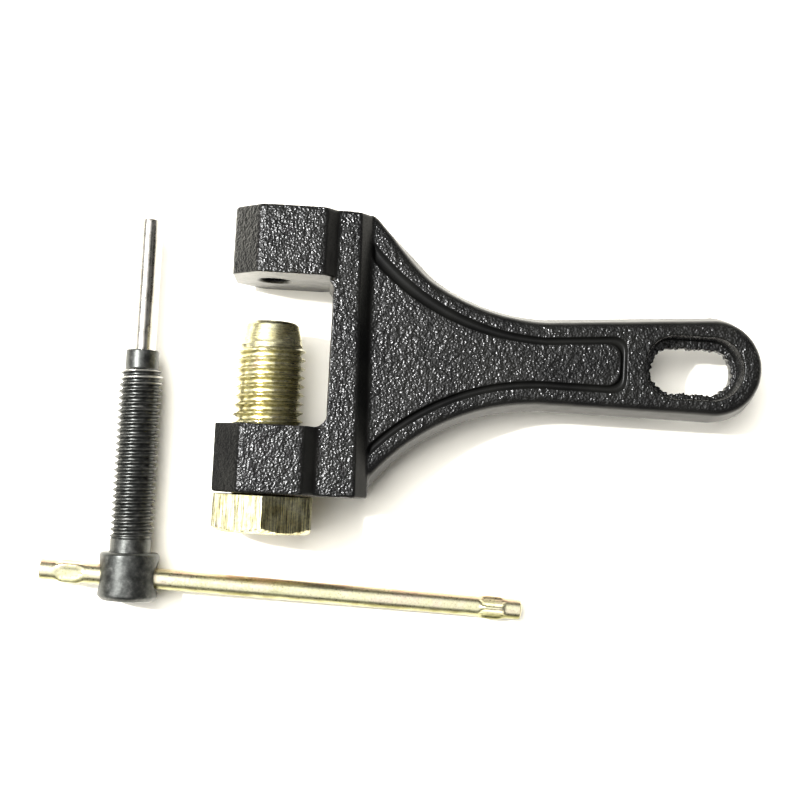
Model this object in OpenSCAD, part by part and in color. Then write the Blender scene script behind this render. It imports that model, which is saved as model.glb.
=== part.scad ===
// Chain tool: a C-shaped casting with a handle, a hollow bolt that clamps the chain,
// and a push screw with its pin and tommy bar, laid flat beside the casting.
// X runs along the handle, Y along the hollow bolt towards the upper jaw, Z up.
// Millimetres. The origin is on the lower jaw's underside, below the bolt axis.

/* [Casting] */
// thickness of the two jaws; the bolt axis is at half of it
jaw_t = 26; // [26:0.5:30]
// length of each jaw along the bolt axis
jaw_len = 15.2; // [13:0.2:16]
// clear gap between the two jaws
jaw_gap = 33.2; // [32.6:0.2:36]
// thickness of the web and handle
web_t = 13; // [10:0.5:16]
// distance from the bolt axis to the far end of the handle
reach = 112.8; // [108:0.2:130]
// radius of the handle's rounded end
handle_end_r = 12.2; // [11.6:0.2:13]

/* [Hollow bolt] */
// thread size across the crests
bolt_d = 15.9; // [15.8:0.05:16]
// distance across the flats of the head
head_af = 22; // [20:1:22]
// height of the head
head_h = 8.4; // [7:0.2:10]

/* [Push screw] */
// thread size across the crests
screw_d = 9.8; // [9.7:0.05:9.9]
// length of the thread
screw_len = 37.8; // [34:0.2:38]
// diameter of the round head
knob_d = 13.5; // [13:0.5:14]
// diameter of the push pin
pin_d = 3.7; // [3.3:0.1:4]
// length of pin beyond the screw's tip
pin_len = 30.6; // [26:0.2:31]

/* [Tommy bar] */
// diameter of the bar
bar_d = 4.7; // [4:0.1:4.8]
// length over the staked ends
bar_len = 110.6; // [100:0.2:120]

/* [Part] */
// which piece to draw

/* [Hidden] */
$fn = 64;
eps = 0.01;

// casting
axis_z = jaw_t / 2;
lower_y0 = -jaw_len / 2;
lower_y1 = jaw_len / 2;
upper_y0 = lower_y1 + jaw_gap;
upper_y1 = upper_y0 + jaw_len;
mid_y = (lower_y0 + upper_y1) / 2;
jaw_bevel = 6;
lower_left = -11.2;
upper_left = -9.3;
lower_right = 8.6;
upper_right = 11;
spine_x0 = 13.4;
spine_foot_x = 20.2;
spine_top_x = 18.6;
spine_drop = 3;
inner_fillet = 3;
band_w = 2.4;
band_drop = 2;
band_inset = 0.4;
flare_r = 48;
flare_x = 62;
neck_half_w = 10.65;
web_y = mid_y + 0.65;
end_x = reach - handle_end_r;
end_y = web_y + 1.1;
slot_r = 7.2;
slot_len = 22.6;
slot_lip = 1.7;
slot_lip_t = 2.4;
slot_x = reach - 17;
slot_y = end_y - 0.35;
rim_w = 4.7;
groove_w = 2;
groove_depth = 1;
groove_x1 = 80.5;
anvil_r = 3.5;
anvil_sink = 0.5;

// hollow bolt
bolt_pitch = 2;
bolt_depth = 1.2;
bolt_clear = 0.1;
head_y1 = lower_y0 - 0.3;
head_y0 = head_y1 - head_h;
head_turn = 2;
bolt_crests = 16;
nose_y = lower_y1 + 23.6;
nose_len = 6.2;
nose_round = 1.6;
bore_r = 5;
guide_r = pin_d / 2 + 0.25;
guide_len = 4.8;

// push screw, in its own frame: its axis is Z and its origin the middle of the cross hole
screw_x = -29.8;
screw_y = -27.9;
screw_pitch = 1.5;
screw_depth = 0.9;
knob_h = 10.9;
knob_chamfer = 0.9;
neck_h = 3.2;
neck_r = 4.65;
dog_h = 5.3;
dog_r = 3.75;
cross_r = bar_d / 2 + 0.35;
cross_sink = 0.5;
knob_top = knob_h / 2;
thread_z0 = knob_top + neck_h;
thread_z1 = thread_z0 + screw_len;
dog_z1 = thread_z1 + dog_h;
pin_seat = 9;
pin_clear = 0.05;
bar_drop = 2.55;

// tommy bar
bar_lean = 2.4;
bar_left = 19.8;
stake_len = 7;
stake_tip = 3.4;
stake_span = 6;
stake_t = 1.7;

// zigzag of ring grooves: crests of radius r, one every pitch, from z0 upwards
function crests(r, depth, pitch, n, z0) = [
    for (i = [0 : n - 1], k = [0 : 3])
        [k == 0 || k == 3 ? r - depth : r, z0 + pitch * (i + [0, 0.43, 0.57, 1][k])]
];

// solid of an X-Z outline between two Y stations
module along_y(y0, y1) {
    translate([0, y1, 0])
        rotate([90, 0, 0])
            linear_extrude(y1 - y0)
                children();
}

// flat-topped jaw with bevelled corners, running into the spine on its right
module jaw(left, right, y0, y1) {
    step = min(spine_drop, spine_x0 - right);
    along_y(y0, y1)
        polygon([
            [left, jaw_bevel],
            [left, jaw_t - jaw_bevel],
            [left + jaw_bevel, jaw_t],
            [right, jaw_t],
            [right + step, jaw_t - spine_drop],
            [spine_x0 + 1, jaw_t - spine_drop],
            [spine_x0 + 1, spine_drop],
            [right + step, spine_drop],
            [right, 0],
            [left + jaw_bevel, 0]
        ]);
}

// upright between the jaws, its right side leaning in towards the top
module spine() {
    translate([0, 0, spine_drop])
        linear_extrude(jaw_t - 2 * spine_drop)
            polygon([
                [spine_x0, lower_y0],
                [spine_foot_x, lower_y0],
                [spine_top_x, upper_y1],
                [spine_x0, upper_y1]
            ]);
}

// smooth lower band that leads from the spine to the web
module band() {
    translate([0, 0, axis_z - web_t / 2 + band_drop])
        linear_extrude(web_t - 2 * band_drop)
            polygon([
                [spine_x0 + 1, lower_y0 + band_inset],
                [spine_foot_x + band_w + eps, lower_y0 + band_inset],
                [spine_top_x + band_w + eps, upper_y1 - band_inset],
                [spine_x0 + 1, upper_y1 - band_inset]
            ]);
}

// rounded inner corners between the spine and the jaw faces
module inner_fillets() {
    for (side = [0, 1])
        translate([0, side == 0 ? lower_y1 : upper_y0, 0])
            mirror([0, side, 0])
                difference() {
                    translate([spine_x0 - inner_fillet, -eps, spine_drop])
                        cube([inner_fillet + eps, inner_fillet + eps, jaw_t - 2 * spine_drop]);
                    translate([spine_x0 - inner_fillet, inner_fillet, 0])
                        cylinder(r = inner_fillet, h = jaw_t);
                }
}

// plan of the web and handle, drawn in by the given distance on every free edge
module web_plan(inset, right_end) {
    foot = spine_foot_x + band_w + inset / 2;
    top = spine_top_x + band_w + inset / 2;
    difference() {
        union() {
            difference() {
                polygon([
                    [foot, lower_y0],
                    [top, upper_y1],
                    [flare_x, web_y + neck_half_w - inset],
                    [end_x, end_y + handle_end_r - inset],
                    [end_x, end_y - handle_end_r + inset],
                    [flare_x, web_y - neck_half_w + inset],
                    [foot + flare_x, lower_y0]
                ]);
                for (side = [-1, 1])
                    translate([flare_x, web_y + side * (neck_half_w + flare_r)])
                        circle(r = flare_r + inset, $fn = 180);
            }
            translate([end_x, end_y])
                circle(r = handle_end_r - inset, $fn = 96);
        }
        translate([right_end, -reach])
            square([2 * reach, 3 * reach]);
    }
}

// flat plate that is the web and handle
module web() {
    translate([0, 0, axis_z - web_t / 2])
        linear_extrude(web_t)
            difference() {
                web_plan(0, 2 * reach);
                translate([0, upper_y1 - band_inset])
                    square([flare_x, reach]);
                translate([0, lower_y0 + band_inset - reach])
                    square([flare_x, reach]);
            }
}

// groove that outlines the panel on one face
module panel_groove() {
    linear_extrude(2 * groove_depth)
        difference() {
            web_plan(rim_w, groove_x1);
            web_plan(rim_w + groove_w, groove_x1 - groove_w);
        }
}

// long slot in the handle's end, square to the faces
module stadium(r, length, height) {
    for (side = [-1, 1])
        translate([side * (length / 2 - r), 0, 0])
            cylinder(r = r, h = height);
    translate([r - length / 2, -r, 0])
        cube([length - 2 * r, 2 * r, height]);
}

module handle_slot() {
    translate([slot_x, slot_y, axis_z - web_t / 2 - 1])
        stadium(slot_r - slot_lip, slot_len - 2 * slot_lip, web_t + 2);
    for (side = [0, 1])
        translate([slot_x, slot_y, axis_z])
            mirror([0, 0, side])
                translate([0, 0, slot_lip_t / 2])
                    stadium(slot_r, slot_len, web_t);
}

module frame_casting() {
    color([0.09, 0.09, 0.09])
        difference() {
            union() {
                jaw(lower_left, lower_right, lower_y0, lower_y1);
                jaw(upper_left, upper_right, upper_y0, upper_y1);
                spine();
                band();
                inner_fillets();
                web();
            }
            handle_slot();
            for (side = [0, 1])
                translate([0, 0, axis_z])
                    mirror([0, 0, side])
                        translate([0, 0, web_t / 2 - groove_depth])
                            panel_groove();
            // bore for the hollow bolt
            translate([0, lower_y0 - 1, axis_z])
                rotate([-90, 0, 0])
                    cylinder(r = bolt_d / 2 + bolt_clear, h = jaw_len + 2);
            // anvil hole that takes the chain's rivet, eased at the jaw face
            translate([0, upper_y0 - 1, axis_z])
                rotate([-90, 0, 0])
                    cylinder(r = anvil_r, h = jaw_len + 2);
            translate([0, upper_y0 - eps, axis_z])
                rotate([-90, 0, 0])
                    cylinder(r1 = anvil_r + anvil_sink, r2 = anvil_r, h = anvil_sink);
        }
}

// hexagon-headed bolt with a through bore
module hollow_bolt() {
    r = bolt_d / 2;
    core = r - bolt_depth;
    thread_y0 = nose_y - nose_len - bolt_crests * bolt_pitch;
    color([0.78, 0.66, 0.30])
        translate([0, 0, axis_z])
            rotate([-90, 0, 0])
                difference() {
                    union() {
                        rotate_extrude()
                            polygon(concat(
                                [[0, head_y1 - 1], [core, head_y1 - 1]],
                                crests(r, bolt_depth, bolt_pitch, bolt_crests, thread_y0),
                                [
                                    [r - 0.4, nose_y - nose_len + 0.8],
                                    [core, nose_y - nose_round],
                                    [core - nose_round, nose_y],
                                    [0, nose_y]
                                ]
                            ));
                        hex_head();
                    }
                    translate([0, 0, head_y0 - 1])
                        cylinder(r = bore_r, h = nose_y - guide_len - head_y0 + 1);
                    translate([0, 0, nose_y - guide_len - 1])
                        cylinder(r = guide_r, h = guide_len + 2);
                }
}

// hexagon with a chamfered outer end
module hex_head() {
    corner_r = head_af / 2 / cos(30);
    intersection() {
        translate([0, 0, head_y0])
            rotate([0, 0, 30 + head_turn])
                cylinder(r = corner_r, h = head_h, $fn = 6);
        rotate_extrude()
            polygon([
                [0, head_y0],
                [head_af / 2 - 0.4, head_y0],
                [corner_r + 0.1, head_y0 + 1.2],
                [corner_r + 0.1, head_y1],
                [0, head_y1]
            ]);
    }
}

// places children drawn in the screw's own frame
module at_screw() {
    translate([screw_x, screw_y, knob_d / 2])
        rotate([-90, 0, 0])
            rotate([0, 0, bar_drop])
                children();
}

// tapers from the cross hole's wall out to the knob's surface
module cross_hole() {
    rotate([0, 90, 0])
        cylinder(r = cross_r, h = knob_d + 2, center = true);
    for (side = [0, 1])
        mirror([side, 0, 0])
            translate([knob_d / 2 - 1.3, 0, 0])
                rotate([0, 90, 0])
                    cylinder(r1 = cross_r, r2 = cross_r + 1.3 + cross_sink, h = 1.3 + cross_sink);
}

module push_screw() {
    r = screw_d / 2;
    core = r - screw_depth;
    rings = floor((screw_len - 1) / screw_pitch);
    color([0.16, 0.16, 0.15])
        at_screw()
            difference() {
                rotate_extrude()
                    polygon(concat(
                        [
                            [0, -knob_top],
                            [knob_d / 2 - knob_chamfer, -knob_top],
                            [knob_d / 2, knob_chamfer - knob_top],
                            [knob_d / 2, knob_top - knob_chamfer / 2],
                            [knob_d / 2 - knob_chamfer / 2, knob_top],
                            [neck_r, knob_top],
                            [neck_r, thread_z0]
                        ],
                        crests(r, screw_depth, screw_pitch, rings, thread_z1 - rings * screw_pitch),
                        [[dog_r, thread_z1 + 0.4], [dog_r, dog_z1 - 0.3], [dog_r - 0.3, dog_z1], [0, dog_z1]]
                    ));
                cross_hole();
                translate([0, 0, dog_z1 - pin_seat])
                    cylinder(r = pin_d / 2 + pin_clear, h = pin_seat + 1);
            }
}

// hardened pin with its tail in the screw's tip
module push_pin() {
    color([0.72, 0.72, 0.72])
        at_screw()
            rotate_extrude()
                polygon([
                    [0, dog_z1 - pin_seat + 0.1],
                    [pin_d / 2, dog_z1 - pin_seat + 0.1],
                    [pin_d / 2, dog_z1 + pin_len - 0.25],
                    [pin_d / 2 - 0.25, dog_z1 + pin_len],
                    [0, dog_z1 + pin_len]
                ]);
}

// round bar whose ends are staked into four ears, so that it can't leave the hole
module tommy_bar() {
    color([0.80, 0.70, 0.42])
        at_screw()
            rotate([0, bar_lean, 0])
                translate([-bar_left, 0, 0])
                    rotate([0, 90, 0]) {
                        cylinder(r = bar_d / 2, h = bar_len);
                        for (start = [stake_tip, bar_len - stake_tip - stake_len])
                            translate([0, 0, start])
                                stake();
                    }
}

// four ears round the bar
module stake() {
    for (turn = [45, 135])
        rotate([0, 0, turn])
            translate([-stake_span / 2, -stake_t / 2, 0])
                cube([stake_span, stake_t, stake_len]);
}

frame_casting();
hollow_bolt();
push_screw();
push_pin();
tommy_bar();
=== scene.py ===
import math

import bmesh
import bpy
import numpy as np
from mathutils import Matrix, Vector, noise


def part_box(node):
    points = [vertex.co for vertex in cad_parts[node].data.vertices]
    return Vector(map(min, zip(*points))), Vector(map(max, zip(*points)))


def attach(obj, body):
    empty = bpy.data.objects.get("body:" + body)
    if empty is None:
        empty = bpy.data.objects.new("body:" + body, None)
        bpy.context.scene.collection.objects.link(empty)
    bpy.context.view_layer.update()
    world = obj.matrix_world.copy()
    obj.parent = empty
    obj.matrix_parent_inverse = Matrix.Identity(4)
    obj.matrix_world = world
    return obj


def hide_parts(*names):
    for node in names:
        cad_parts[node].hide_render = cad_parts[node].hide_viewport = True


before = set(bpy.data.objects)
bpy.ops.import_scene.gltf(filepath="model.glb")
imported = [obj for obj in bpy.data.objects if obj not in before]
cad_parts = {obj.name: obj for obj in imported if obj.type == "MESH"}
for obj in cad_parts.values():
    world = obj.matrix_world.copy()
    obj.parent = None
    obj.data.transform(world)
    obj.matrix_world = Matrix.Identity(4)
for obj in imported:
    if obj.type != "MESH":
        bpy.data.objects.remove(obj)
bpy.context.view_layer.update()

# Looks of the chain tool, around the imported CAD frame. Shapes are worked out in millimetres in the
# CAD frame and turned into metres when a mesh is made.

MM = 0.001
COS_45 = 0.7071

# ---------------------------------------------------------------- sizes, in mm, as in the CAD
AXIS_Z = 13.0
JAW_HALF = 7.6
UPPER_Y = 48.4
FACE_Y = UPPER_Y - JAW_HALF
MID_Y = 24.2
JAW_BEVEL = 6.0
LOWER_LEFT, UPPER_LEFT = -11.2, -9.3
LOWER_RIGHT, UPPER_RIGHT = 8.6, 11.0
SPINE_X0, SPINE_X1 = 13.4, 19.2
SPINE_SLANT = 0.0245
SPINE_HALF = 10.0
SPINE_LEN_HALF = 31.75
STEP_LEAN = 0.8
STEP_COS = 0.78
BAND_W = 2.45
BAND_HALF = 4.5
BAND_TOP = 0.6
WEB_HALF = 6.5
INNER_FILLET = 3.0
FLARE_R = 48.0
FLARE_X = 62.0
NECK_HALF = 10.65
WEB_Y = MID_Y + 0.65
END_R = 12.2
END_X = 112.8 - END_R
END_Y = WEB_Y + 1.1
SIDE_DRAFT = 1.7
DRAFT_COS = 0.967
TIP_DRAFT_CUT = 0.55
TIP_SWELL_DROP = 0.75
WEB_ROUND = 1.8
RIM_W = 4.7
GROOVE_W = 2.0
GROOVE_END_X = 80.5
GROOVE_CORNER = 3.6
GROOVE_HALF = 0.72
GROOVE_DEPTH = 1.15
GROOVE_WIDER_LOW = 0.12
GROOVE_WIDER_HIGH = 0.5
GROOVE_WIDE_X, GROOVE_THIN_X = 22, 62
SLOT_X = 112.8 - 17.0
SLOT_Y = END_Y - 0.35
SLOT_R = 7.2
SLOT_HALF_STRAIGHT = 22.6 / 2 - SLOT_R
SLOT_LIP_R = 5.2
SLOT_LIP_HALF = 1.2
SLOT_LIP_DX, SLOT_LIP_DY = 0.5, -0.35
SLOT_DRAFT = 0.45
ANVIL_R = 3.5
ANVIL_SINK = 0.6
BOLT_BORE_R = 8.05
OUTSIDE = 99.0

BOLT_R = 7.95
BOLT_PITCH = 2.0
BOLT_DEPTH = 1.15
BOLT_CREST, BOLT_ROOT = 0.08, 0.26
BOLT_NOSE_Y = 31.2
BOLT_NOSE_LEN = 6.2
NOSE_SHOULDER = 0.95
NOSE_TAPER = 1.15
NOSE_EDGE = 1.55
HEAD_Y1 = -7.9
HEAD_Y0 = HEAD_Y1 - 8.4
HEAD_AF = 22.0
HEAD_TURN = 2.0
HEAD_CHAMFER = 0.5
BORE_R = 5.0
BORE_MOUTH = 1.2
BORE_THREAD = 0.75
GUIDE_R = 2.1
GUIDE_LEN = 4.8

SCREW_X, SCREW_Y, SCREW_Z = -29.8, -27.9, 6.75
SCREW_R = 4.9
SCREW_PITCH = 1.5
SCREW_DEPTH = 0.9
SCREW_CREST, SCREW_ROOT = 0.12, 0.18
KNOB_R = 6.75
KNOB_HALF = 5.45
NECK_R = 4.65
THREAD_Z0 = 8.65
THREAD_Z1 = THREAD_Z0 + 37.8
THREAD_TOP = THREAD_Z1 + 1.3
DOG_R = 3.75
DOG_Z1 = THREAD_Z1 + 5.3
CROSS_R = 2.7
PIN_R = 1.85
PIN_SEAT = 9.0
PIN_END = DOG_Z1 + 30.6
BAR_DROP = 2.55
BAR_LEAN = 2.4
BAR_R = 2.35
BAR_LEN = 110.6
BAR_LEFT = 19.8
STAKE_TIP = 3.4
STAKE_LEN = 7.0
STAKE_SPAN = 6.0
STAKE_WAIST = 2.02
BAR_DISH_R = 0.9
BAR_DISH = 0.16

KNOB_AROUND = 128
HOLE_AROUND = 96
PIN_AROUND = 64
BAR_AROUND = 96


# ---------------------------------------------------------------- mesh helpers
def new_piece(name, verts_mm, faces, smooth=True):
    """A mesh object from points in mm."""
    mesh = bpy.data.meshes.new(name)
    mesh.from_pydata((np.asarray(verts_mm, float) * MM).tolist(), [], faces)
    mesh.validate()
    mesh.update()
    if smooth:
        mesh.polygons.foreach_set("use_smooth", [True] * len(mesh.polygons))
    ob = bpy.data.objects.new(name, mesh)
    bpy.context.scene.collection.objects.link(ob)
    return ob


def point_attribute(ob, name, values):
    """A float stored at each vertex, for the material to read."""
    layer = ob.data.attributes.new(name, "FLOAT", "POINT")
    layer.data.foreach_set("value", np.asarray(values, np.float32))


def sharpen(ob, degrees):
    """Marks edges sharper than this, so that smooth shading stops at them."""
    limit = math.radians(degrees)
    bm = bmesh.new()
    bm.from_mesh(ob.data)
    for e in bm.edges:
        e.smooth = not (len(e.link_faces) == 2 and e.calc_face_angle(0) > limit)
    bm.to_mesh(ob.data)
    bm.free()


def fix_normals(ob):
    bm = bmesh.new()
    bm.from_mesh(ob.data)
    bmesh.ops.recalc_face_normals(bm, faces=bm.faces)
    bm.to_mesh(ob.data)
    bm.free()


def tube_faces(rings, around, closed):
    """Quads between consecutive rings of points; closed also joins the last ring to the first."""
    i = np.arange(rings if closed else rings - 1)[:, None] * around
    j = np.arange(around)[None, :]
    nxt = (j + 1) % around
    up = (i + around) % (rings * around)
    quads = np.stack([i + j, i + nxt, up + nxt, up + j], -1).reshape(-1, 4)
    return quads.tolist()


def capped_tube(rings, around):
    """An open tube's quads with a flat face over each end."""
    first = list(range(around))
    last = [(rings - 1) * around + i for i in range(around)]
    return tube_faces(rings, around, False) + [first[::-1], last]


def smooth_step(x, lo, hi):
    """0 up to lo, 1 from hi, and an even S between."""
    t = np.clip((x - lo) / (hi - lo), 0, 1)
    return t * t * (3 - 2 * t)


def smooth_max(a, b, k):
    """The larger of two distances, rounded where they are within k of each other."""
    h = np.maximum(k - np.abs(a - b), 0) / k
    return np.maximum(a, b) + h * h * k / 4


def smooth_min(a, b, k):
    """The smaller of two distances, rounded where they are within k of each other."""
    h = np.maximum(k - np.abs(a - b), 0) / k
    return np.minimum(a, b) - h * h * k / 4


def noise_at(points_mm, size_mm, seed):
    """Perlin noise, about -1 to 1, with blobs of the given size."""
    shift = Vector((seed * 17.3, seed * 5.9, seed * 11.1))
    return np.array([noise.noise(Vector(p) / size_mm + shift) for p in points_mm])


# ---------------------------------------------------------------- casting
def web_edge(x, y):
    """Distance outside the web and handle's plan outline at mid thickness."""
    dy = y - WEB_Y
    line_t = np.clip((x - FLARE_X) / (END_X - FLARE_X), 0, 1)
    shift = line_t * (END_Y - WEB_Y)
    half = NECK_HALF + line_t * (END_R - NECK_HALF)
    along = np.abs(dy - shift) - half
    arc = FLARE_R - np.sqrt((x - FLARE_X) ** 2 + (np.abs(dy) - NECK_HALF - FLARE_R) ** 2)
    end = np.sqrt((x - END_X) ** 2 + (y - END_Y) ** 2) - END_R
    return np.where(x < FLARE_X, arc, np.where(x < END_X, along, end))


def panel_distance(x, y, edge):
    """Distance from the middle of the panel's groove, and the groove's half width there."""
    panel = smooth_max(edge + RIM_W + GROOVE_W / 2, x - GROOVE_END_X + GROOVE_W / 2, GROOVE_CORNER)
    upper = smooth_step(y, WEB_Y - 2, WEB_Y + 4)
    near_spine = smooth_step(-x, -GROOVE_THIN_X, -GROOVE_WIDE_X)
    half_w = GROOVE_HALF + (GROOVE_WIDER_LOW + GROOVE_WIDER_HIGH * upper) * near_spine
    return panel, half_w


def spine_edge(y):
    """X of the spine's right edge on its outer faces, which leans a little along its length."""
    return SPINE_X1 + SPINE_SLANT * (MID_Y + 9 - y)


def casting_distance(x, y, z):
    """Signed distance, roughly, to the casting's surface; negative inside."""
    zc = np.abs(z - AXIS_Z)
    edge = web_edge(x, y)

    # web and handle, with drafted sides that meet at mid thickness
    near_top = TIP_DRAFT_CUT * smooth_step(y, 46, 57)
    swell = smooth_step(y, 41, 49) * (1 - TIP_SWELL_DROP * smooth_step(y, 51, 57))
    side = (edge + zc * SIDE_DRAFT / WEB_HALF * (1 - near_top) - 1.0 * swell) * DRAFT_COS
    web = smooth_max(side, zc - WEB_HALF, WEB_ROUND)
    spine_x1 = spine_edge(y)
    past_ends = np.abs(y - MID_Y) - SPINE_LEN_HALF
    web = smooth_max(web, spine_x1 + BAND_W - 0.5 - x + (zc - BAND_HALF - 1.0) * 0.5, 0.7)
    web = smooth_max(web, past_ends, 0.8)

    # groove round the panel
    panel, half_w = panel_distance(x, y, edge)
    trough = np.sqrt(panel ** 2 + ((zc - WEB_HALF) * half_w / GROOVE_DEPTH) ** 2) - half_w
    web = smooth_max(web, -trough, 0.28)

    # spine and the smooth low band beside it
    past_band = x - spine_x1 - BAND_W - 0.6
    band = np.maximum(zc - BAND_HALF - BAND_TOP, np.maximum(past_band, SPINE_X0 - x))
    band = smooth_max(band, past_ends, 1.4)
    spine = np.maximum(SPINE_X0 - x, zc - SPINE_HALF)
    step = (x - spine_x1 + (zc - SPINE_HALF) * STEP_LEAN) * STEP_COS
    spine = smooth_max(spine, step, 0.5)
    spine = np.maximum(spine, past_band)
    spine = smooth_max(spine, past_ends, 0.9)
    solid = smooth_min(smooth_min(web, band, 0.8), spine, 0.6)

    # jaws
    for left, right, mid in ((LOWER_LEFT, LOWER_RIGHT, 0.0), (UPPER_LEFT, UPPER_RIGHT, UPPER_Y)):
        bevel_l = (zc - (AXIS_Z - JAW_BEVEL) - (x - left)) * COS_45
        bevel_r = (x - right + zc - AXIS_Z) * COS_45
        in_spine = x - SPINE_X1 + 2.0
        jaw = smooth_max(smooth_max(left - x, zc - AXIS_Z, 0.5), bevel_l, 0.7)
        jaw = smooth_max(jaw, bevel_r, 0.5)
        jaw = smooth_max(jaw, in_spine, 0.3)
        slab = np.maximum(np.maximum(left + 8 - x, in_spine), zc - SPINE_HALF)
        jaw = smooth_min(jaw, slab, 0.5)
        outward = y - mid if mid > 0 else mid - y
        jaw = smooth_max(jaw, outward - JAW_HALF, 0.9)
        jaw = np.maximum(jaw, -outward - JAW_HALF)
        solid = smooth_min(solid, jaw, 0.25)

    # rounded inner corners
    for face_y, way in ((JAW_HALF, 1.0), (FACE_Y, -1.0)):
        cx, cy = SPINE_X0 - INNER_FILLET, face_y + way * INNER_FILLET
        corner = np.maximum(cx - x, way * (y - cy))
        corner = np.maximum(corner, np.maximum(x - SPINE_X0 - 0.5, way * (face_y - 0.5 - y)))
        corner = np.maximum(corner, INNER_FILLET - np.sqrt((x - cx) ** 2 + (y - cy) ** 2))
        solid = np.minimum(solid, np.maximum(corner, zc - SPINE_HALF + 0.15))

    # slot: open at both faces, with a ragged lip left at mid thickness
    sx = np.maximum(np.abs(x - SLOT_X) - SLOT_HALF_STRAIGHT, 0)
    radial = np.sqrt(sx ** 2 + (y - SLOT_Y) ** 2)
    mouth = np.maximum(radial - SLOT_R + SLOT_DRAFT - SLOT_DRAFT * zc / WEB_HALF, SLOT_LIP_HALF - zc)
    lip_x = np.maximum(np.abs(x - SLOT_X - SLOT_LIP_DX) - SLOT_HALF_STRAIGHT - 0.1, 0)
    lip_y = y - SLOT_Y - SLOT_LIP_DY
    turn = np.arctan2(lip_y, x - SLOT_X - SLOT_LIP_DX)
    ragged = 0.16 * np.sin(33 * turn) + 0.12 * np.sin(47 * turn + 1.0) + 0.14 * np.sin(9 * turn)
    inner = np.sqrt(lip_x ** 2 + lip_y ** 2) - SLOT_LIP_R + ragged
    solid = smooth_max(solid, -mouth, 0.5)
    solid = smooth_max(solid, -inner, 0.35)

    # bores along the bolt axis
    rho = np.sqrt(x ** 2 + (z - AXIS_Z) ** 2)
    sink = np.clip(FACE_Y + 0.5 - y, 0, ANVIL_SINK)
    bolt_bore = np.where(y < MID_Y, BOLT_BORE_R - rho, -OUTSIDE)
    anvil = np.where(y > FACE_Y - 0.5, ANVIL_R + sink - rho, -OUTSIDE)
    return np.maximum(solid, np.maximum(bolt_bore, anvil))


def surface_net(values, origin, step):
    """Quads round the zero level of a grid of values, as points in mm and faces."""
    inside = values < 0
    nx, ny, nz = values.shape
    cells = (nx - 1, ny - 1, nz - 1)
    count = np.zeros(cells, np.uint8)
    for c in range(8):
        a, b, d = c >> 2 & 1, c >> 1 & 1, c & 1
        count += inside[a:nx - 1 + a, b:ny - 1 + b, d:nz - 1 + d]
    mixed = np.argwhere((count > 0) & (count < 8))
    total = np.zeros((len(mixed), 3))
    hits = np.zeros(len(mixed))
    corners = {}
    for c in range(8):
        k = (c >> 2 & 1, c >> 1 & 1, c & 1)
        corners[k] = values[mixed[:, 0] + k[0], mixed[:, 1] + k[1], mixed[:, 2] + k[2]]
    for axis in range(3):
        for k in corners:
            if k[axis]:
                continue
            far = tuple(v + (i == axis) for i, v in enumerate(k))
            u, w = corners[k], corners[far]
            cross = (u < 0) != (w < 0)
            t = np.where(cross, u / np.where(cross, u - w, 1), 0)
            point = np.array(k, float)[None, :].repeat(len(mixed), 0)
            point[:, axis] += t
            total += point * cross[:, None]
            hits += cross
    verts = (mixed + total / hits[:, None]) * step + origin
    index = np.full(cells, -1, np.int64)
    index[tuple(mixed.T)] = np.arange(len(mixed))
    faces = []
    for axis in range(3):
        lo = [slice(1, n - 1) for n in values.shape]
        hi = list(lo)
        lo[axis] = slice(0, values.shape[axis] - 1)
        hi[axis] = slice(1, values.shape[axis])
        a, b = inside[tuple(lo)], inside[tuple(hi)]
        at = np.argwhere(a != b)
        start = np.array([0 if i == axis else 1 for i in range(3)])
        at = at + start
        u, w = [(1, 2), (2, 0), (0, 1)][axis]
        quad = []
        for du, dw in ((1, 1), (0, 1), (0, 0), (1, 0)):
            p = at.copy()
            p[:, u] -= du
            p[:, w] -= dw
            quad.append(index[tuple(p.T)])
        quad = np.stack(quad, 1)
        flip = ~inside[tuple(at.T)]
        quad[flip] = quad[flip][:, ::-1]
        faces.append(quad)
    return verts, np.concatenate(faces)


def gradient(f, p, h=0.02):
    """Slope of f at each point, from values a distance h to either side."""
    g = np.empty_like(p)
    for i in range(3):
        d = np.zeros(3)
        d[i] = h
        g[:, i] = (f(*(p + d).T) - f(*(p - d).T)) / (2 * h)
    return g


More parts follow.
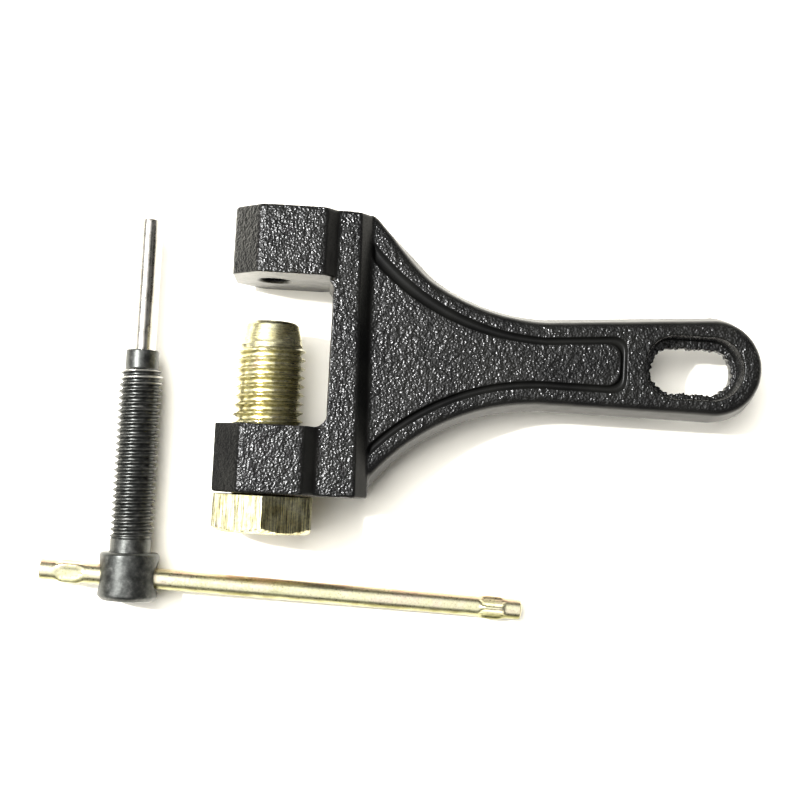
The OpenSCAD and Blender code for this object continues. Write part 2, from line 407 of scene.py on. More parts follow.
def make_casting():
    step = 0.32
    lo = np.array([-11.9, -8.3, -0.7])
    hi = np.array([113.5, 56.7, 26.7])
    n = np.ceil((hi - lo) / step).astype(int) + 1
    gx = (lo[0] + step * np.arange(n[0], dtype=np.float32))[:, None, None]
    gy = (lo[1] + step * np.arange(n[1], dtype=np.float32))[None, :, None]
    gz = (lo[2] + step * np.arange(n[2], dtype=np.float32))[None, None, :]
    values = np.broadcast_to(casting_distance(gx, gy, gz), tuple(n)).astype(np.float32)
    verts, faces = surface_net(values, lo, step)
    for _ in range(3):
        g = gradient(casting_distance, verts)
        length2 = np.maximum((g ** 2).sum(1), 0.2)
        d = casting_distance(*verts.T)
        verts -= np.clip(d / length2, -0.3, 0.3)[:, None] * g
    g = gradient(casting_distance, verts)
    normal = g / np.maximum(np.linalg.norm(g, axis=1), 1e-6)[:, None]
    x, y, z = verts.T
    zc = np.abs(z - AXIS_Z)

    # machined faces: both jaw faces, the spine's inner edge and the corners between
    gap = (y > JAW_HALF - 0.12) & (y < FACE_Y + 0.12) & (x < SPINE_X0 + 0.12)
    facing = np.abs(normal[:, 2]) < 0.75
    bare = (gap & facing).astype(float)
    rho2 = x ** 2 + (z - AXIS_Z) ** 2
    bore = (rho2 < (BOLT_BORE_R + 0.2) ** 2) & (y < MID_Y) & (y > -7.7)
    bore |= (rho2 < (ANVIL_R + 0.8) ** 2) & (y > MID_Y)
    bare = np.maximum(bare, bore & facing)

    # rough as-cast skin on the flat faces; smooth on the drafted sides, bands and groove
    panel, half_w = panel_distance(x, y, web_edge(x, y))
    flat = smooth_step(np.abs(normal[:, 2]), 0.80, 0.97)
    spine_x1 = spine_edge(y)
    low = zc < WEB_HALF + 0.5
    on_web = (x > spine_x1 + BAND_W - 0.5) & low
    groove = np.where(on_web, smooth_step(np.abs(panel), half_w - 0.1, half_w + 0.2), 1.0)
    on_band = low & (x > spine_x1 - 0.2) & (x < spine_x1 + BAND_W - 0.1)
    band = np.where(on_band, 0.0, 1.0)
    left_bevel = (x < -1.0) & (zc > 6.5) & (np.abs(normal[:, 2]) < 0.9)
    ends = (np.abs(normal[:, 1]) > 0.8) & (x < SPINE_X1)
    slot_x = np.maximum(np.abs(x - SLOT_X) - SLOT_HALF_STRAIGHT, 0)
    slot_wall = np.hypot(slot_x, y - SLOT_Y) < SLOT_R + 0.1
    rough = flat * groove * band
    rough = np.maximum(rough, np.where(y > MID_Y, 0.80, 0.65) * left_bevel)
    rough = np.maximum(rough, 0.6 * (ends | slot_wall))
    rough = np.maximum(rough, 0.4 * ((np.abs(normal[:, 0]) > 0.8) & (x < -5)))
    rough *= 1 - bare

    grain = noise_at(verts, 0.95, 1) + 0.6 * noise_at(verts, 0.55, 2)
    slow = noise_at(verts, 6.0, 3)
    dent = 0.06 + 0.075 * grain + 0.03 * slow
    wobble = 0.035 + 0.035 * noise_at(verts, 2.6, 4)
    push = np.where(bare > 0.5, 0.0, rough * dent + (1 - rough) * wobble)
    verts = verts - normal * np.maximum(push, 0)[:, None]

    box_lo, box_hi = (np.array(v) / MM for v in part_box("frame_casting"))
    verts = np.clip(verts, box_lo + 0.001, box_hi - 0.001)
    ob = new_piece("casting", verts, faces.tolist())
    point_attribute(ob, "bare", bare)
    point_attribute(ob, "rough_skin", rough)
    point_attribute(ob, "dull", left_bevel * np.where(y > MID_Y, 0.45, 0.82))
    return ob


# ---------------------------------------------------------------- threads and turned parts
def thread_radius(y, turn, r_top, depth, pitch, crest, root):
    """Radius of a right-handed thread at height y and angle turn.

    The crest and the root are flat over these shares of the pitch.
    """
    phase = (y / pitch - turn / (2 * math.pi)) % 1.0
    away = np.abs(phase - 0.5) * 2
    flank = np.clip((away - crest) / (1 - crest - root), 0, 1)
    return r_top - depth * (0.85 * flank + 0.15 * smooth_step(flank, 0, 1))


def polar_grid(heights, around, radius):
    """Points r(y, turn) in a frame whose axis is the third coordinate."""
    turn = np.arange(around) * 2 * math.pi / around
    h = np.asarray(heights, float)[:, None]
    r = radius(h, turn[None, :]) + 0 * (h + turn[None, :])
    return np.stack([r * np.cos(turn), r * np.sin(turn), h + 0 * r], -1).reshape(-1, 3)


def lathe_rings(profile, around):
    """Points of plain turned rings from (radius, height) pairs."""
    turn = np.arange(around) * 2 * math.pi / around
    p = np.asarray(profile, float)
    r, h = p[:, :1], p[:, 1:]
    return np.stack([r * np.cos(turn), r * np.sin(turn), h + 0 * turn], -1).reshape(-1, 3)


def round_corner(a, b, c, size, steps=4):
    """Points that round the corner b of a profile a, b, c."""
    a, b, c = (np.array(v, float) for v in (a, b, c))
    p = b + (a - b) / np.linalg.norm(a - b) * size
    q = b + (c - b) / np.linalg.norm(c - b) * size
    t = np.linspace(0, 1, steps + 1)[:, None]
    return ((1 - t) ** 2 * p + 2 * t * (1 - t) * b + t ** 2 * q).tolist()


def rounded_profile(points, size):
    """A closed or open profile with every inner corner rounded."""
    out = [list(points[0][:2])]
    for a, b, c in zip(points, points[1:], points[2:]):
        s = b[2] if len(b) > 2 else size
        if s <= 0:
            out.append(list(b[:2]))
        else:
            out += round_corner(a[:2], b[:2], c[:2], s)
    out.append(list(points[-1][:2]))
    return out


def subdivided(profile, step):
    """The same profile, its longer parts cut into steps of about this length."""
    dense = [profile[0]]
    for a, b in zip(profile, profile[1:]):
        parts = max(1, int(math.hypot(b[0] - a[0], b[1] - a[1]) / step))
        for i in range(1, parts + 1):
            dense.append([a[0] + (b[0] - a[0]) * i / parts, a[1] + (b[1] - a[1]) * i / parts])
    return dense


def to_bolt_frame(p):
    """From an axis-up frame to the bolt's place: height becomes Y."""
    return np.stack([p[:, 0], p[:, 2], AXIS_Z - p[:, 1]], -1)


def make_bolt():
    around = 192
    per_pitch = 18
    corner = math.radians(90 + HEAD_TURN)
    rings = []

    def add(points):
        rings.append(points.reshape(-1, around, 3))

    # bore, from the nose to the head, with the inner thread
    add(lathe_rings([[GUIDE_R + 0.5, BOLT_NOSE_Y - 0.02],
                     [GUIDE_R + 0.1, BOLT_NOSE_Y - 0.5]], around))
    shoulder = BOLT_NOSE_Y - GUIDE_LEN
    add(lathe_rings([[GUIDE_R, BOLT_NOSE_Y - 0.8], [GUIDE_R, shoulder + 0.1], [GUIDE_R + 0.2, shoulder],
                     [BORE_R - 0.8, shoulder - 0.05]], around))
    inner_h = np.arange(shoulder - 0.4, HEAD_Y0 + 1.0, -SCREW_PITCH / (per_pitch * 0.6))

    def bore(hh, tt):
        return BORE_R - BORE_THREAD + thread_radius(hh, tt, BORE_THREAD, 0.7, SCREW_PITCH, 0.25, 0.1)

    add(polar_grid(inner_h, around, bore))
    add(lathe_rings(rounded_profile([
        [BORE_R, HEAD_Y0 + 0.9], [BORE_R + 0.2, HEAD_Y0 + 0.7, 0.1],
        [BORE_R + BORE_MOUTH - 0.3, HEAD_Y0 + 0.02, 0.1], [BORE_R + BORE_MOUTH, HEAD_Y0],
    ], 0.1), around))

    # hexagon with a chamfered outer end
    turn = np.arange(around) * 2 * math.pi / around
    turn = turn + corner % (2 * math.pi / around)
    sixth = (turn - corner + 1e-9) % (math.pi / 3) - math.pi / 6
    hexagon = HEAD_AF / 2 / np.cos(sixth)
    hexagon = np.minimum(hexagon, HEAD_AF / 2 / math.cos(math.pi / 6) - 0.06)
    face = HEAD_AF / 2 - HEAD_CHAMFER
    head = []
    for h, cone in (
        (HEAD_Y0, face - 2.5), (HEAD_Y0, face - 0.15), (HEAD_Y0 + 0.04, face + 0.05),
        (HEAD_Y0 + 0.35, face + 0.55), (HEAD_Y0 + 0.62, face + 1.0), (HEAD_Y0 + 0.9, face + 1.47),
        (HEAD_Y0 + 1.2, OUTSIDE), (HEAD_Y0 + 2.2, OUTSIDE), (HEAD_Y0 + 4.5, OUTSIDE),
        (HEAD_Y1 - 2.0, OUTSIDE), (HEAD_Y1 - 0.9, OUTSIDE), (HEAD_Y1 - 0.3, OUTSIDE),
        (HEAD_Y1 - 0.12, OUTSIDE),
    ):
        r = np.minimum(hexagon, cone)
        head.append(np.stack([r * np.cos(turn), r * np.sin(turn), np.full(around, h)], -1))
    inset = np.array([0.988, 0.988, 1.0])
    head.append(head[-1] * inset + np.array([0, 0, 0.1]))
    add(np.concatenate(head))
    add(lathe_rings([[9.6, HEAD_Y1 - 0.02], [8.2, HEAD_Y1 - 0.02], [7.0, HEAD_Y1 + 0.05]], around))

    # threaded shank, faded out towards the nose, then the turned nose
    nose_start = BOLT_NOSE_Y - BOLT_NOSE_LEN
    h = np.arange(HEAD_Y1 + 0.3, nose_start + 1.2, BOLT_PITCH / per_pitch)

    def shank(hh, tt):
        from_last = hh - (nose_start - 1.1)
        r = thread_radius(from_last, tt, BOLT_R, BOLT_DEPTH, BOLT_PITCH, BOLT_CREST, BOLT_ROOT)
        fade = smooth_step(hh, nose_start - 0.6, nose_start + 1.0)
        nose = BOLT_R - 0.75 - 0.16 * (hh - nose_start)
        return r * (1 - fade) + nose * fade

    add(polar_grid(h, around, shank))
    nose_profile = []
    for t in np.linspace(0.22, 0.80, 7):
        hh = nose_start + BOLT_NOSE_LEN * t
        nose_profile.append([BOLT_R - NOSE_SHOULDER - NOSE_TAPER * t ** 1.6, hh])
    wide = nose_profile[-1][0]
    edge_height = BOLT_NOSE_LEN * 0.2
    for t in np.linspace(0.15, 1, 7):
        a = t * math.pi / 2
        nose_profile.append([wide - NOSE_EDGE * (1 - math.cos(a)),
                             BOLT_NOSE_Y - edge_height * (1 - math.sin(a))])
    nose_profile += [[GUIDE_R + 1.0, BOLT_NOSE_Y]]
    add(lathe_rings(nose_profile, around))
    points = np.concatenate([r.reshape(-1, 3) for r in rings])
    n = len(points) // around
    ob = new_piece("clamp_bolt", to_bolt_frame(points), tube_faces(n, around, True))
    radius = np.hypot(points[:, 0], points[:, 1])
    depth = np.clip((BOLT_R - radius) / BOLT_DEPTH, 0, 1)
    height = points[:, 2]
    on_thread = (height > HEAD_Y1 + 0.2) & (height < nose_start + 0.8) & (radius > BORE_R + 1)
    # Flank mask: the material uses it to paint shade on the thread flanks, between crests and roots.
    point_attribute(ob, "flank", on_thread * np.clip(1 - np.abs(depth - 0.6) / 0.38, 0, 1))
    fix_normals(ob)
    sharpen(ob, 32)
    return ob


def screw_matrix():
    """From the screw's own frame, axis up with its origin in the cross hole, to the row frame."""
    place = Matrix.Translation(Vector((SCREW_X, SCREW_Y, SCREW_Z)))
    lie_down = Matrix.Rotation(math.radians(-90), 4, "X")
    return place @ lie_down @ Matrix.Rotation(math.radians(BAR_DROP), 4, "Z")


def apply_matrix(p, m):
    """Points moved by a 4 by 4 matrix."""
    a = np.array(m)
    return p @ a[:3, :3].T + a[:3, 3]


def make_screw():
    around = 144
    per_pitch = 14
    m = screw_matrix()

    # thread, neck and plain tip with the pin's bore
    shoulder = [[NECK_R - 1.5, KNOB_HALF - 0.4], [NECK_R, KNOB_HALF - 0.4],
                [NECK_R, THREAD_Z0 - 0.25], [NECK_R - 0.2, THREAD_Z0]]
    h = np.arange(THREAD_Z0 + 0.15, THREAD_TOP - 0.1, SCREW_PITCH / per_pitch)

    def shank(hh, tt):
        r = thread_radius(hh, tt, SCREW_R, SCREW_DEPTH, SCREW_PITCH, SCREW_CREST, SCREW_ROOT)
        low = smooth_step(hh, THREAD_Z0, THREAD_Z0 + 1.3)
        high = 1 - smooth_step(hh, THREAD_TOP - 0.9, THREAD_TOP - 0.2)
        start = SCREW_R - SCREW_DEPTH
        r = np.maximum(r, SCREW_R - 0.25) * (1 - low) + r * low
        return r * high + (start - 0.25) * (1 - high)

    tip = rounded_profile([
        [DOG_R - 0.02, THREAD_TOP - 0.05], [DOG_R, THREAD_TOP + 0.5, 0.2], [DOG_R, DOG_Z1, 0.32],
        [PIN_R + 0.35, DOG_Z1, 0.08], [PIN_R + 0.06, DOG_Z1 - 0.3, 0.08],
        [PIN_R + 0.06, DOG_Z1 - PIN_SEAT],
    ], 0.2)
    points = np.concatenate([
        lathe_rings(shoulder, around), polar_grid(h, around, shank), lathe_rings(tip, around),
    ])
    faces = capped_tube(len(points) // around, around)
    shaft = new_piece("push_screw", apply_matrix(points, m), faces)
    radius = np.hypot(points[:, 0], points[:, 1])
    crest = smooth_step(radius, SCREW_R - 0.38, SCREW_R - 0.12)
    top = smooth_step(points[:, 2], THREAD_TOP - 4.2, THREAD_TOP - 3.0)
    point_attribute(shaft, "worn", crest * np.maximum(top, 0.03))
    fix_normals(shaft)

    # knob with the countersunk cross hole
    knob_profile = rounded_profile([
        [0.01, -KNOB_HALF], [KNOB_R - 0.95, -KNOB_HALF, 0.35], [KNOB_R, -KNOB_HALF + 0.95, 0.4],
        [KNOB_R, KNOB_HALF - 0.5, 0.3], [KNOB_R - 0.5, KNOB_HALF, 0.3], [0.01, KNOB_HALF],
    ], 0.3)
    rings = lathe_rings(subdivided(knob_profile, 0.6), KNOB_AROUND)
    knob = new_piece("knob", rings, capped_tube(len(rings) // KNOB_AROUND, KNOB_AROUND))
    fix_normals(knob)
    out = KNOB_R + 2
    cutter_profile = [
        [CROSS_R + 3.4, -out], [CROSS_R + 1.55, -KNOB_R - 0.15], [CROSS_R + 0.1, -KNOB_R + 1.3],
        [CROSS_R, -KNOB_R + 1.6], [CROSS_R, KNOB_R - 1.6], [CROSS_R + 0.1, KNOB_R - 1.3],
        [CROSS_R + 1.55, KNOB_R + 0.15], [CROSS_R + 3.4, out],
    ]
    rings = lathe_rings(cutter_profile, HOLE_AROUND)
    rings = np.stack([rings[:, 2], rings[:, 1], -rings[:, 0]], -1)
    cutter = new_piece("cutter", rings, capped_tube(len(cutter_profile), HOLE_AROUND))
    fix_normals(cutter)
    cut = knob.modifiers.new("hole", "BOOLEAN")
    cut.operation = "DIFFERENCE"
    cut.solver = "EXACT"
    cut.object = cutter
    dg = bpy.context.evaluated_depsgraph_get()
    done = bpy.data.meshes.new_from_object(knob.evaluated_get(dg))
    done.transform(Matrix.Diagonal((1 / MM, 1 / MM, 1 / MM, 1)))
    done.transform(m)
    done.transform(Matrix.Diagonal((MM, MM, MM, 1)))
    bpy.data.objects.remove(knob)
    bpy.data.objects.remove(cutter)
    bm = bmesh.new()
    bm.from_mesh(shaft.data)
    bm.from_mesh(done)
    bm.to_mesh(shaft.data)
    bm.free()
    shaft.data.polygons.foreach_set("use_smooth", [True] * len(shaft.data.polygons))
    sharpen(shaft, 30)
    return shaft


def make_pin():
    profile = rounded_profile([
        [0.01, DOG_Z1 - PIN_SEAT + 0.1], [PIN_R, DOG_Z1 - PIN_SEAT + 0.1, 0.2],
        [PIN_R, PIN_END - 0.3, 0.12], [PIN_R - 0.3, PIN_END, 0.12], [0.01, PIN_END],
    ], 0.2)
    rings = lathe_rings(subdivided(profile, 1.0), PIN_AROUND)
    faces = capped_tube(len(rings) // PIN_AROUND, PIN_AROUND)
    ob = new_piece("push_pin", apply_matrix(rings, screw_matrix()), faces)
    fix_normals(ob)
    sharpen(ob, 35)
    return ob


def make_bar():
    stake_end = STAKE_TIP + STAKE_LEN
    heights = np.concatenate([
        np.linspace(0, stake_end + 2, 70),
        np.linspace(stake_end + 3, BAR_LEN - STAKE_TIP - STAKE_LEN - 3, 60),
        np.linspace(BAR_LEN - STAKE_TIP - STAKE_LEN - 2, BAR_LEN, 70),
    ])

    def radius(h, t):
        end = np.minimum(h, BAR_LEN - h)
        right_end = h > BAR_LEN / 2
        flats = np.abs(np.sin(2 * (t - np.where(right_end, math.pi / 4, math.radians(8)))))
        press = smooth_step(end, STAKE_TIP - 0.1, STAKE_TIP + 1.1 + 0.9 * flats)
        press = press * (1 - smooth_step(end, stake_end - 1.3 - 0.8 * flats, stake_end - 0.1))
        ear = flats ** 5
        lower = 0.34 * smooth_step(-np.cos(t), 0.5, 0.9) + 0.22 * smooth_step(np.cos(t), 0.5, 0.9)
        lower = right_end * (lower + 0.12 * smooth_step(np.sin(t), 0.5, 0.9))
        star = STAKE_WAIST + (STAKE_SPAN / 2 - STAKE_WAIST - 0.12 - lower) * ear + 0.1 * flats
        r = BAR_R * (1 - press) + star * press
        tip = np.clip(1 - end / 0.45, 0, 1)
        return r - 0.4 * (1 - np.sqrt(1 - 0.98 * tip ** 2))

    dish = ((0.05, BAR_DISH), (BAR_DISH_R, 0.12), (BAR_R - 0.75, 0.0))
    dish_lo = lathe_rings(dish, BAR_AROUND)
    dish_hi = lathe_rings([(r, BAR_LEN - h) for r, h in dish[::-1]], BAR_AROUND)
    points = np.concatenate([dish_lo, polar_grid(heights, BAR_AROUND, radius), dish_hi])
    faces = capped_tube(len(points) // BAR_AROUND, BAR_AROUND)
    # the bar's own axis is X: height becomes X
    local = np.stack([points[:, 2] - BAR_LEFT, points[:, 1], -points[:, 0]], -1)
    m = screw_matrix() @ Matrix.Rotation(math.radians(BAR_LEAN), 4, "Y")
    ob = new_piece("tommy_bar", apply_matrix(local, m), faces)
    # side runs from -1 on the south edge to 1 on the north edge; the material paints its edge
    # reflection and shade from it.
    point_attribute(ob, "side", -points[:, 0] / BAR_R)
    fix_normals(ob)
    sharpen(ob, 40)
    return ob


# ---------------------------------------------------------------- materials
class Nodes:
    """Short calls for wiring a material."""

    def __init__(self, name):
        self.mat = bpy.data.materials.new(name)
        self.mat.use_nodes = True
        self.tree = self.mat.node_tree
        self.tree.nodes.clear()
        self.out = self.add("ShaderNodeOutputMaterial")
        self.bsdf = self.add("ShaderNodeBsdfPrincipled")
        self.link(self.bsdf.outputs[0], self.out.inputs["Surface"])
        self.coords = self.add("ShaderNodeTexCoord").outputs["Object"]

    def add(self, kind, **settings):
        node = self.tree.nodes.new(kind)
        for key, value in settings.items():
            setattr(node, key, value)
        return node

    def link(self, a, b):
        self.tree.links.new(a, b)

    def put(self, node, **inputs):
        for key, value in inputs.items():
            socket = node.inputs[key.replace("_", " ")]
            if isinstance(value, bpy.types.NodeSocket):
                self.link(value, socket)
            else:
                socket.default_value = value
        return node

    def noise(self, size_mm, detail, rough, scale=(1, 1, 1), distort=0.0):
        """Noise whose blobs have the given size; output is 0 to 1."""
        mapping = self.add("ShaderNodeMapping")
        self.link(self.coords, mapping.inputs["Vector"])
        mapping.inputs["Scale"].default_value = scale
        n = self.add("ShaderNodeTexNoise")
        self.link(mapping.outputs[0], n.inputs["Vector"])
        n.inputs["Scale"].default_value = 1 / (size_mm * MM)
        n.inputs["Detail"].default_value = detail
        n.inputs["Roughness"].default_value = rough
        n.inputs["Distortion"].default_value = distort
        return n.outputs["Fac"]

    def ramp(self, value, stops):
        r = self.add("ShaderNodeValToRGB")
        self.link(value, r.inputs["Fac"])
        e = r.color_ramp.elements
        while len(e) < len(stops):
            e.new(0.5)
        for el, (pos, colour) in zip(e, stops):
            el.position = pos
            el.color = (*colour, 1.0)
        return r.outputs["Color"]

    def range(self, value, lo, hi, to_lo, to_hi):
        """The value carried from lo..hi to to_lo..to_hi, and held at the ends."""
        r = self.add("ShaderNodeMapRange")
        self.put(r, Value=value, From_Min=lo, From_Max=hi, To_Min=to_lo, To_Max=to_hi)
        return r.outputs[0]

    def math(self, op, a, b):
        n = self.add("ShaderNodeMath", operation=op)
        for socket, value in zip(n.inputs, (a, b)):
            if isinstance(value, bpy.types.NodeSocket):
                self.link(value, socket)
            else:
                socket.default_value = value
        return n.outputs[0]

    def mix(self, fac, a, b, kind="RGBA"):
        n = self.add("ShaderNodeMix", data_type=kind)
        ends = {"RGBA": (6, 7, 2), "FLOAT": (2, 3, 0)}[kind]
        for i, value in zip((0, ends[0], ends[1]), (fac, a, b)):
            socket = n.inputs[i]
            if isinstance(value, bpy.types.NodeSocket):
                self.link(value, socket)
            elif kind == "RGBA" and i:
                socket.default_value = (*value, 1.0)
            else:
                socket.default_value = value
        return n.outputs[ends[2]]

    def darken(self, colour, factor):
        n = self.add("ShaderNodeMix", data_type="RGBA", blend_type="MULTIPLY")
        n.inputs[0].default_value = 1.0
        self.link(colour, n.inputs[6])
        self.link(factor, n.inputs[7])
        return n.outputs[2]

    def attribute(self, name):
        return self.add("ShaderNodeAttribute", attribute_name=name).outputs["Fac"]

    def bump(self, height, strength, distance_mm, normal=None):
        b = self.add("ShaderNodeBump")
        self.put(b, Height=height, Strength=strength, Distance=distance_mm * MM)
        if normal:
            self.link(normal, b.inputs["Normal"])
        return b.outputs["Normal"]


def cast_black():
    """Black paint over a coarse cast skin, and bare machined steel where the jaws were milled."""
    n = Nodes("cast_black")
    bare = n.attribute("bare")
    skin = n.attribute("rough_skin")
    fine = n.noise(0.27, 1.0, 0.5)
    coarse = n.noise(0.49, 0.0, 0.5)
    lumps = n.noise(1.1, 0.0, 0.5)
    slow = n.noise(9.0, 2.0, 0.5)
    height = n.math("ADD", n.math("MULTIPLY", fine, 0.30), coarse)
    height = n.math("ADD", height, n.math("MULTIPLY", lumps, 0.9))
    strength = n.range(skin, 0, 1, 0.04, 1.0)
    rough_bump = n.bump(height, strength, 0.22)
    lines = n.noise(0.25, 2.0, 0.5, (0.06, 1, 1))
    normal = n.bump(lines, n.math("MULTIPLY", bare, 0.25), 0.05, rough_bump)
    paint = n.mix(n.range(slow, 0.35, 0.65, 0, 1), (0.006, 0.006, 0.006), (0.011, 0.011, 0.010))
    steel = n.mix(n.range(lines, 0.3, 0.7, 0, 1), (0.045, 0.045, 0.042), (0.135, 0.132, 0.124))
    # Random darker patches on the bare steel, painted in as dark reflections on the milled faces.
    worn = n.noise(3.2, 4.0, 0.7)
    steel = n.mix(n.range(worn, 0.42, 0.58, 0, 0.85), steel, (0.022, 0.022, 0.021))
    colour = n.mix(bare, paint, steel)
    paint_rough = n.mix(skin, 0.32, n.range(fine, 0.3, 0.7, 0.20, 0.28), "FLOAT")
    rough = n.mix(bare, paint_rough, n.range(lines, 0.3, 0.7, 0.28, 0.42), "FLOAT")
    glossy = n.range(n.attribute("dull"), 0, 1, 1, 0)
    shine = n.math("MULTIPLY", n.range(skin, 0, 1, 0.13, 0.5), glossy)
    n.put(n.bsdf, Base_Color=colour, Roughness=rough, Metallic=bare, Normal=normal,
          Specular_IOR_Level=shine)
    return n.mat


def yellow_zinc():
    """The bolt's yellow zinc: turned lines on the shank, milled streaks on the head."""
    n = Nodes("yellow_zinc")
    tint = n.noise(5.0, 3.0, 0.6, distort=0.6)
    fine = n.noise(0.7, 3.0, 0.6)
    turned = n.noise(0.22, 2.0, 0.5, (0.08, 1, 0.08))
    milled = n.noise(0.35, 3.0, 0.6, (1, 0.05, 1))
    sep = n.add("ShaderNodeSeparateXYZ")
    n.link(n.coords, sep.inputs[0])
    on_head = n.range(sep.outputs["Y"], (HEAD_Y1 - 0.3) * MM, (HEAD_Y1 + 0.1) * MM, 1, 0)
    lines = n.mix(on_head, turned, milled, "FLOAT")
    base = n.ramp(tint, [(0.30, (0.64, 0.57, 0.29)), (0.48, (0.80, 0.75, 0.45)),
                         (0.62, (0.86, 0.82, 0.56)), (0.75, (0.83, 0.68, 0.49))])
    # Darkening factor: random dirt from fine noise, times painted shade on the thread flanks (the flank
    # mask halves them), times the milled streaks on the head.
    darkening = n.range(fine, 0.30, 0.62, 0.62, 1.0)
    darkening = n.math("MULTIPLY", darkening, n.range(n.attribute("flank"), 0, 1, 1.0, 0.50))
    streak = n.range(milled, 0.40, 0.60, 0.50, 1.20)
    darkening = n.math("MULTIPLY", darkening, n.mix(on_head, 1.0, streak, "FLOAT"))
    normal = n.bump(lines, n.range(on_head, 0, 1, 0.25, 0.75), 0.05)
    n.put(n.bsdf, Base_Color=n.darken(base, darkening), Roughness=n.range(lines, 0.3, 0.7, 0.24, 0.36),
          Normal=n.bump(fine, 0.12, 0.05, normal))
    n.bsdf.inputs["Metallic"].default_value = 1.0
    return n.mat


def bar_zinc():
    """The bar's zinc: a painted pinkish reflection tint along its north edge and a painted dark olive
    shade along its south edge; the top keeps the plain pale zinc tone.
    """
    n = Nodes("bar_zinc")
    tint = n.noise(7.0, 3.0, 0.6, distort=1.0)
    fine = n.noise(0.5, 3.0, 0.6)
    drawn = n.noise(0.3, 2.0, 0.5, (0.03, 1, 1))
    base = n.ramp(tint, [(0.30, (0.62, 0.60, 0.36)), (0.45, (0.74, 0.71, 0.46)),
                         (0.58, (0.76, 0.70, 0.50)), (0.72, (0.74, 0.62, 0.50))])
    # Painted light: a pinkish reflection tint on the north edge and a dark olive painted shade on the
    # south edge, made patchy by the tint noise.
    side = n.attribute("side")
    patchy = n.range(tint, 0.35, 0.60, 0.45, 1.0)
    pink_edge_reflection = n.math("MULTIPLY", n.range(side, 0.45, 0.85, 0, 0.9), patchy)
    olive_edge_shade = n.math("MULTIPLY", n.range(side, -0.30, -0.70, 0, 0.92), patchy)
    base = n.mix(pink_edge_reflection, base, (0.48, 0.30, 0.20))
    base = n.mix(olive_edge_shade, base, (0.20, 0.19, 0.055))
    # Random dirt, darker in patches.
    darkening = n.range(fine, 0.32, 0.60, 0.78, 1.0)
    normal = n.bump(drawn, 0.2, 0.04)
    n.put(n.bsdf, Base_Color=n.darken(base, darkening), Roughness=n.range(fine, 0.3, 0.7, 0.26, 0.40),
          Normal=n.bump(fine, 0.1, 0.05, normal))
    n.bsdf.inputs["Metallic"].default_value = 1.0
    return n.mat


def black_oxide():
    """Mottled black oxide, rubbed bright on the first threads."""
    n = Nodes("black_oxide")
    mottle = n.noise(1.6, 4.0, 0.65)
    fine = n.noise(0.35, 3.0, 0.6)
    turned = n.noise(0.2, 2.0, 0.5, (0.05, 1, 0.05))
    base = n.ramp(mottle, [(0.35, (0.045, 0.047, 0.044)), (0.55, (0.080, 0.083, 0.078)),
                           (0.70, (0.14, 0.14, 0.132))])
    base = n.mix(n.attribute("worn"), base, (0.55, 0.54, 0.50))
    normal = n.bump(turned, 0.2, 0.05)
    n.put(n.bsdf, Base_Color=base, Roughness=n.range(mottle, 0.3, 0.7, 0.30, 0.48),
          Normal=n.bump(fine, 0.25, 0.06, normal))
    n.bsdf.inputs["Metallic"].default_value = 0.85
    return n.mat


def tool_steel():
    """Ground steel."""
    n = Nodes("tool_steel")
    ground = n.noise(0.12, 2.0, 0.5, (0.05, 1, 0.05))
    smear = n.noise(3.0, 3.0, 0.6)
    base = n.ramp(smear, [(0.35, (0.30, 0.285, 0.255)), (0.65, (0.42, 0.405, 0.375))])
    n.put(n.bsdf, Base_Color=base, Roughness=n.range(smear, 0.3, 0.7, 0.22, 0.34),
          Normal=n.bump(ground, 0.15, 0.03))
    n.bsdf.inputs["Metallic"].default_value = 1.0
    return n.mat


def floor_paper():
    n = Nodes("floor_paper")
    n.bsdf.inputs["Base Color"].default_value = (0.88, 0.85, 0.765, 1)
    n.bsdf.inputs["Roughness"].default_value = 0.9
    return n.mat


# ---------------------------------------------------------------- build the pieces
PIECES = (
    (make_casting, "frame", "frame_casting", "cast_black", cast_black),
    (make_bolt, "clamp_bolt", "hollow_bolt", "yellow_zinc", yellow_zinc),
    (make_screw, "screw", "push_screw", "black_oxide", black_oxide),
    (make_pin, "pin", "push_pin", "tool_steel", tool_steel),
    (make_bar, "bar", "tommy_bar", "yellow_zinc", bar_zinc),
)
made = {}
for build, body, node, slot, material in PIECES:
    piece = build()
    made[body] = piece
    piece.data.materials.append(material())
    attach(piece, body)
    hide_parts(node)

# ---------------------------------------------------------------- floor, light and camera
FLOOR_FAR = 6000
FLOOR_DROP = 0.00002
floor_corners = [[-FLOOR_FAR, -FLOOR_FAR, 0], [FLOOR_FAR, -FLOOR_FAR, 0],
                 [FLOOR_FAR, FLOOR_FAR, 0], [-FLOOR_FAR, FLOOR_FAR, 0]]
floor = new_piece("floor", floor_corners, [[0, 1, 2, 3]])
floor.location.z = -FLOOR_DROP
floor.data.materials.append(floor_paper())

LAMP_TARGET = Vector((0.03, 0.02, 0.01))


def area_light(name, direction, distance, size, watts):
    """A square lamp at a distance along a direction, aimed at the target."""
    data = bpy.data.lights.new(name, "AREA")
    data.energy = watts
    data.size = size
    ob = bpy.data.objects.new(name, data)
    bpy.context.scene.collection.objects.link(ob)
    d = Vector(direction).normalized()
    ob.location = LAMP_TARGET + d * distance
    ob.rotation_mode = "QUATERNION"
    ob.rotation_quaternion = d.to_track_quat("Z", "Y")
    return ob


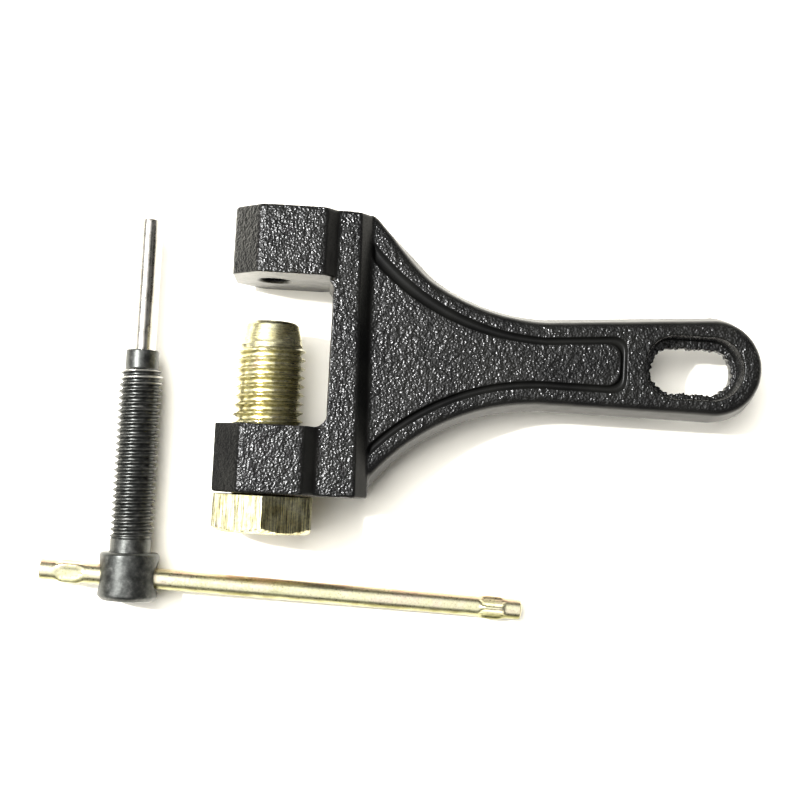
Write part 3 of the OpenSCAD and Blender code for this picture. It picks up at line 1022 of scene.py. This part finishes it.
def lit_only(lamp, things):
    """Lets a lamp light only these objects; every object still casts its shadow."""
    group = bpy.data.collections.new(lamp.name + "_receivers")
    for thing in things:
        group.objects.link(thing)
    lamp.light_linking.receiver_collection = group


blacks = [made["frame"], made["screw"]]
metals = [made["clamp_bolt"], made["pin"]]
everything = None

# name, direction, distance and size in metres, watts, and what the lamp lights
LAMPS = (
    ("key", (-0.58, 0.12, 0.85), 0.8, 0.035, 11.6, everything),
    ("over_bar", (0, -0.08, 1), 1.0, 2.2, 20.0, [made["bar"]]),
    ("ceiling", (-0.42, 0.08, 0.9), 1.1, 1.5, 13.0, metals + [floor]),
    ("dim_ceiling", (-0.42, 0.08, 0.9), 1.1, 1.5, 9.7, blacks),
    ("floor_fill", (-0.33, 0.33, 0.86), 1.0, 0.95, 22.5, [floor]),
    ("south", (0, -1, 0.42), 1.0, 1.1, 1.6, metals),
    ("north", (0, 1, 0.42), 1.0, 1.1, 1.8, metals),
    ("west", (-1, 0, 0.36), 1.0, 1.1, 1.9, metals),
    ("east", (1, 0, 0.42), 1.0, 1.1, 1.0, [made["pin"]]),
)
for name, direction, distance, size, watts, things in LAMPS:
    lamp = area_light(name, direction, distance, size, watts)
    if things is not everything:
        lit_only(lamp, things)

world = bpy.data.worlds.new("studio")
world.use_nodes = True
background = world.node_tree.nodes["Background"]
background.inputs["Color"].default_value = (1.0, 0.98, 0.94, 1)
background.inputs["Strength"].default_value = 0.10
bpy.context.scene.world = world

CAMERA_AT = (14.923 * MM, -5.107 * MM, 307.895 * MM)
CAMERA_TURN = (3.785, -3.075, 2.902)
LENS = 58.5
SENSOR = 36.0
camera_data = bpy.data.cameras.new("camera")
camera_data.lens = LENS
camera_data.sensor_width = SENSOR
camera_data.clip_start = 0.01
camera = bpy.data.objects.new("camera", camera_data)
bpy.context.scene.collection.objects.link(camera)
camera.location = CAMERA_AT
camera.rotation_euler = [math.radians(a) for a in CAMERA_TURN]
bpy.context.scene.camera = camera

bpy.context.scene.view_settings.view_transform = "Standard"
bpy.context.scene.view_settings.look = "None"
bpy.context.scene.view_settings.exposure = 0.0
